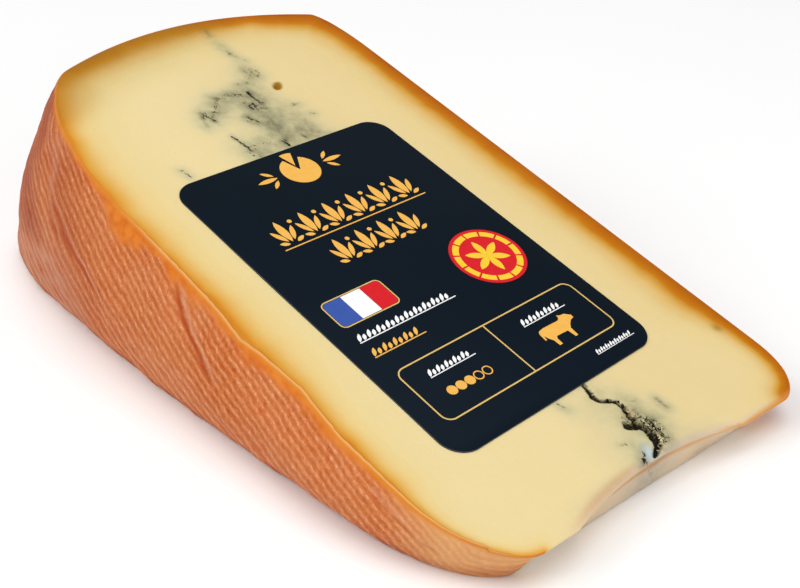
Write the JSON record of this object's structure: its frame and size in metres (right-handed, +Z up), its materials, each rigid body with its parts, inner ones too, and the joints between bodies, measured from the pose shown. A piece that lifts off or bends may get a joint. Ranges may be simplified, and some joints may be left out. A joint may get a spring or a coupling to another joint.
{
  "type": "wedge of washed-rind cheese with an ash line",
  "caption": "Wedge of morbier cheese lying on a cut face: pale yellow paste with a line of black ash, linen-marked orange rind and a dark card label on top.",
  "frame": {"origin": "middle of the underside of the wedge's bounding box, on the surface it lies on", "axes": "+X along the wedge's length, towards the thin end; +Y across the wheel's height, towards the flat side turned away from the linen side shown; +Z up"},
  "size_m": [0.1548, 0.0824, 0.0448],
  "materials": {
    "paste": "satin, slightly moist",
    "vegetable_ash": "dull, crumbly",
    "navy_card": "satin"
  },
  "bodies": {
    "root": {"cheese": "paste", "ash_layer": "vegetable_ash", "label": "navy_card"}
  },
  "joints": []
}
